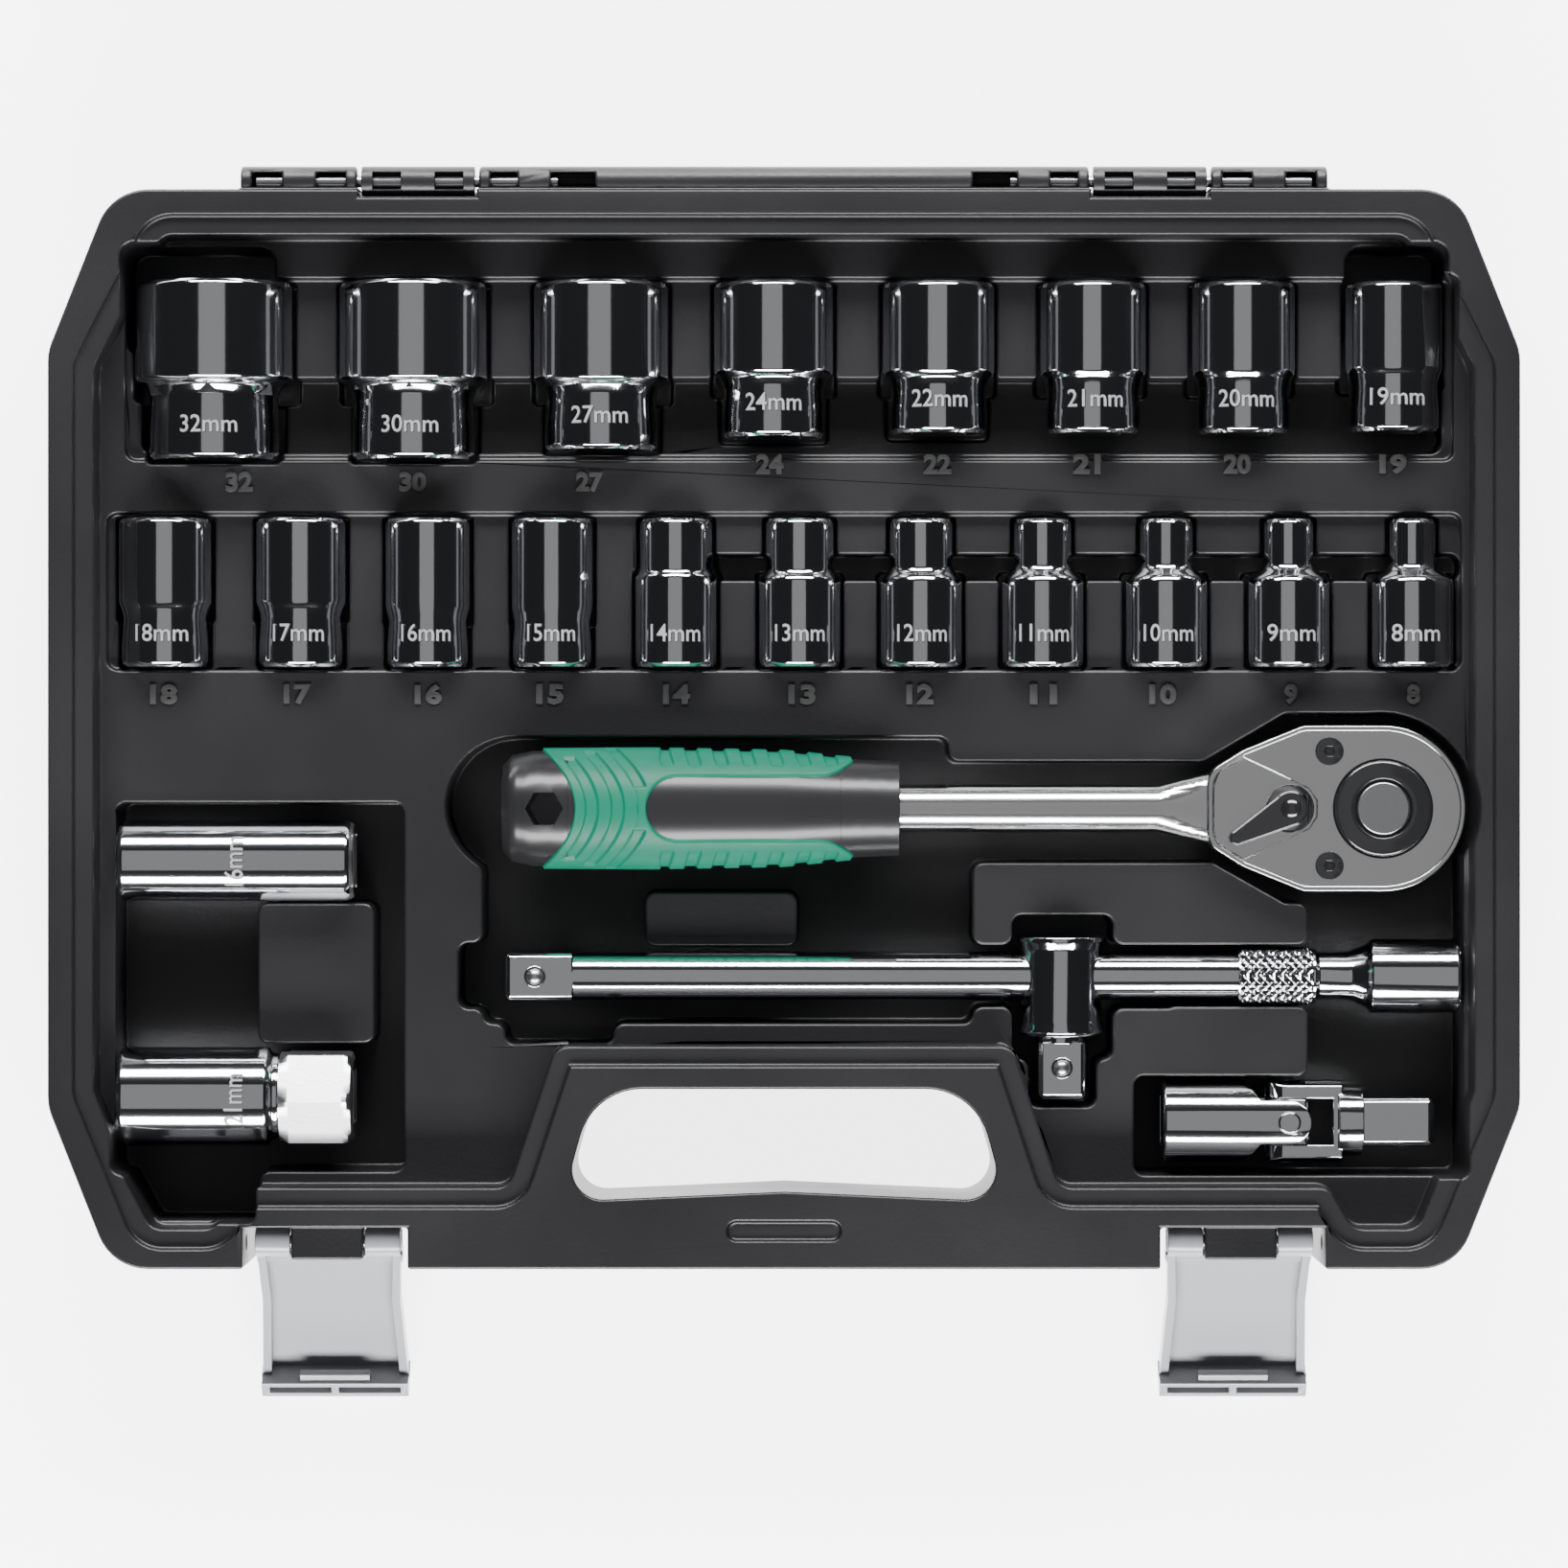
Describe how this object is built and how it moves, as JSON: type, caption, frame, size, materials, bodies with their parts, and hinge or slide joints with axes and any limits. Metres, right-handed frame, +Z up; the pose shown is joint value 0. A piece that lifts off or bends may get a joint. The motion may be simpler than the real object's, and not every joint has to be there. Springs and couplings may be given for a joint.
{
  "type": "socket wrench set",
  "caption": "Half-inch drive socket wrench set lying in the open black tray of its carrying case, with a green gripped ratchet",
  "frame": {"origin": "centre of the case body on its flat underside", "axes": "+X to the right along the case, +Y towards the hinge, +Z up out of the tray"},
  "size_m": [0.39, 0.3299, 0.0495],
  "materials": {
    "case_plastic": "fine grained",
    "latch_grey": "satin",
    "chrome_steel": "polished",
    "dark_chrome": "polished dark",
    "black_steel": "gloss",
    "pin_steel": "satin",
    "grip_green": "satin",
    "grip_black": "satin",
    "insert_rubber": "matte"
  },
  "bodies": {
    "case": {"case_tray": "case_plastic", "hinge_pin_left": "pin_steel", "hinge_pin_right": "pin_steel", "latch_pin_left": "pin_steel", "latch_pin_right": "pin_steel"},
    "lid_knuckles": {"lid_knuckle_left": "case_plastic", "lid_knuckle_right": "case_plastic"},
    "latch_left_body": {"latch_left": "latch_grey"},
    "latch_right_body": {"latch_right": "latch_grey"},
    "ratchet": {"ratchet_head": "chrome_steel", "ratchet_cover": "dark_chrome", "ratchet_cover_screws": "pin_steel", "grip_core": "grip_black", "grip_sleeve": "grip_green", "grip_inlay": "grip_black", "pawl_pin": "pin_steel"},
    "gear": {"ratchet_gear": "black_steel", "ratchet_ball": "chrome_steel", "release_spring": "pin_steel"},
    "button": {"release_button": "pin_steel"},
    "lever": {"reversing_lever": "black_steel", "pawl_plunger": "pin_steel"},
    "pawl": {"ratchet_pawl": "pin_steel"},
    "bar": {"extension_bar": "chrome_steel", "extension_ball": "chrome_steel"},
    "tee": {"tee_head": "chrome_steel", "tee_ball": "chrome_steel"},
    "flex_socket": {"joint_socket": "chrome_steel"},
    "flex_cross": {"joint_cross": "chrome_steel"},
    "flex_drive": {"joint_drive": "chrome_steel", "joint_pins": "chrome_steel", "joint_ball": "chrome_steel"},
    "socket_8_body": {"socket_8": "chrome_steel"},
    "socket_9_body": {"socket_9": "chrome_steel"},
    "socket_10_body": {"socket_10": "chrome_steel"},
    "socket_11_body": {"socket_11": "chrome_steel"},
    "socket_12_body": {"socket_12": "chrome_steel"},
    "socket_13_body": {"socket_13": "chrome_steel"},
    "socket_14_body": {"socket_14": "chrome_steel"},
    "socket_15_body": {"socket_15": "chrome_steel"},
    "socket_16_body": {"socket_16": "chrome_steel"},
    "socket_17_body": {"socket_17": "chrome_steel"},
    "socket_18_body": {"socket_18": "chrome_steel"},
    "socket_19_body": {"socket_19": "chrome_steel"},
    "socket_20_body": {"socket_20": "chrome_steel"},
    "socket_21_body": {"socket_21": "chrome_steel"},
    "socket_22_body": {"socket_22": "chrome_steel"},
    "socket_24_body": {"socket_24": "chrome_steel"},
    "socket_27_body": {"socket_27": "chrome_steel"},
    "socket_30_body": {"socket_30": "chrome_steel"},
    "socket_32_body": {"socket_32": "chrome_steel"},
    "plug_16_body": {"plug_socket_16": "chrome_steel", "plug_insert_16": "insert_rubber"},
    "plug_21_body": {"plug_socket_21": "chrome_steel", "plug_insert_21": "insert_rubber"}
  },
  "joints": [
    {"name": "bar_lift", "type": "slide", "parent": "case", "child": "bar", "axis": [0, 0, 1], "range_m": [0, 0.06]},
    {"name": "bar_tee_turn", "type": "hinge", "parent": "bar", "child": "tee", "pos_m": [0.0742, -0.0659, 0.026], "axis": [-1, 0, 0], "range_deg": [0, 110]},
    {"name": "drive_square_spin", "type": "hinge", "parent": "ratchet", "child": "gear", "pos_m": [0.1592, -0.021, 0.031], "axis": [0, 0, 1], "continuous": true},
    {"name": "flex_drive_tilt", "type": "hinge", "parent": "flex_cross", "child": "flex_drive", "pos_m": [0.1346, -0.1047, 0.025], "axis": [0, -1, 0], "range_deg": [0, 38]},
    {"name": "flex_fork_swing", "type": "hinge", "parent": "flex_socket", "child": "flex_cross", "pos_m": [0.1346, -0.1047, 0.025], "axis": [0, 0, 1], "range_deg": [-8, 8]},
    {"name": "flex_lift", "type": "slide", "parent": "case", "child": "flex_socket", "axis": [0, 0, 1], "range_m": [0, 0.06]},
    {"name": "latch_left_swing", "type": "hinge", "parent": "case", "child": "latch_left_body", "pos_m": [-0.1215, -0.1366, 0.033], "axis": [-1, 0, 0], "range_deg": [0, 123]},
    {"name": "latch_right_swing", "type": "hinge", "parent": "case", "child": "latch_right_body", "pos_m": [0.1215, -0.1366, 0.033], "axis": [-1, 0, 0], "range_deg": [0, 123]},
    {"name": "lever_flip", "type": "hinge", "parent": "ratchet", "child": "lever", "pos_m": [0.1345, -0.021, 0.031], "axis": [0, 0, 1], "range_deg": [-57.4, 0]},
    {"name": "lid_knuckle_swing", "type": "hinge", "parent": "case", "child": "lid_knuckles", "pos_m": [0, 0.1454, 0.0395], "axis": [1, 0, 0], "range_deg": [0, 180]},
    {"name": "pawl_rock", "type": "hinge", "parent": "ratchet", "child": "pawl", "pos_m": [0.1424, -0.021, 0.031], "axis": [0, 0, 1], "range_deg": [0, 6]},
    {"name": "ratchet_lift", "type": "slide", "parent": "case", "child": "ratchet", "axis": [0, 0, 1], "range_m": [0, 0.06]},
    {"name": "release_button_press", "type": "slide", "parent": "gear", "child": "button", "axis": [0, 0, -1], "range_m": [0, 0.003], "stiffness_N_per_m": 200, "deforming": ["release_spring"]},
    {"name": "socket_08_lift", "type": "slide", "parent": "case", "child": "socket_8_body", "axis": [0, 0, 1], "range_m": [0, 0.06]},
    {"name": "socket_09_lift", "type": "slide", "parent": "case", "child": "socket_9_body", "axis": [0, 0, 1], "range_m": [0, 0.06]},
    {"name": "socket_10_lift", "type": "slide", "parent": "case", "child": "socket_10_body", "axis": [0, 0, 1], "range_m": [0, 0.06]},
    {"name": "socket_11_lift", "type": "slide", "parent": "case", "child": "socket_11_body", "axis": [0, 0, 1], "range_m": [0, 0.06]},
    {"name": "socket_12_lift", "type": "slide", "parent": "case", "child": "socket_12_body", "axis": [0, 0, 1], "range_m": [0, 0.06]},
    {"name": "socket_13_lift", "type": "slide", "parent": "case", "child": "socket_13_body", "axis": [0, 0, 1], "range_m": [0, 0.06]},
    {"name": "socket_14_lift", "type": "slide", "parent": "case", "child": "socket_14_body", "axis": [0, 0, 1], "range_m": [0, 0.06]},
    {"name": "socket_15_lift", "type": "slide", "parent": "case", "child": "socket_15_body", "axis": [0, 0, 1], "range_m": [0, 0.06]},
    {"name": "socket_16_lift", "type": "slide", "parent": "case", "child": "socket_16_body", "axis": [0, 0, 1], "range_m": [0, 0.06]},
    {"name": "socket_17_lift", "type": "slide", "parent": "case", "child": "socket_17_body", "axis": [0, 0, 1], "range_m": [0, 0.06]},
    {"name": "socket_18_lift", "type": "slide", "parent": "case", "child": "socket_18_body", "axis": [0, 0, 1], "range_m": [0, 0.06]},
    {"name": "socket_19_lift", "type": "slide", "parent": "case", "child": "socket_19_body", "axis": [0, 0, 1], "range_m": [0, 0.06]},
    {"name": "socket_20_lift", "type": "slide", "parent": "case", "child": "socket_20_body", "axis": [0, 0, 1], "range_m": [0, 0.06]},
    {"name": "socket_21_lift", "type": "slide", "parent": "case", "child": "socket_21_body", "axis": [0, 0, 1], "range_m": [0, 0.06]},
    {"name": "socket_22_lift", "type": "slide", "parent": "case", "child": "socket_22_body", "axis": [0, 0, 1], "range_m": [0, 0.06]},
    {"name": "socket_24_lift", "type": "slide", "parent": "case", "child": "socket_24_body", "axis": [0, 0, 1], "range_m": [0, 0.06]},
    {"name": "socket_27_lift", "type": "slide", "parent": "case", "child": "socket_27_body", "axis": [0, 0, 1], "range_m": [0, 0.06]},
    {"name": "socket_30_lift", "type": "slide", "parent": "case", "child": "socket_30_body", "axis": [0, 0, 1], "range_m": [0, 0.06]},
    {"name": "socket_32_lift", "type": "slide", "parent": "case", "child": "socket_32_body", "axis": [0, 0, 1], "range_m": [0, 0.06]},
    {"name": "plug_socket_16_lift", "type": "slide", "parent": "case", "child": "plug_16_body", "axis": [0, 0, 1], "range_m": [0, 0.06]},
    {"name": "plug_socket_21_lift", "type": "slide", "parent": "case", "child": "plug_21_body", "axis": [0, 0, 1], "range_m": [0, 0.06]}
  ],
  "couplings": [
    {"joint": "pawl_rock", "follows": "lever_flip", "ratio": -0.10453}
  ]
}
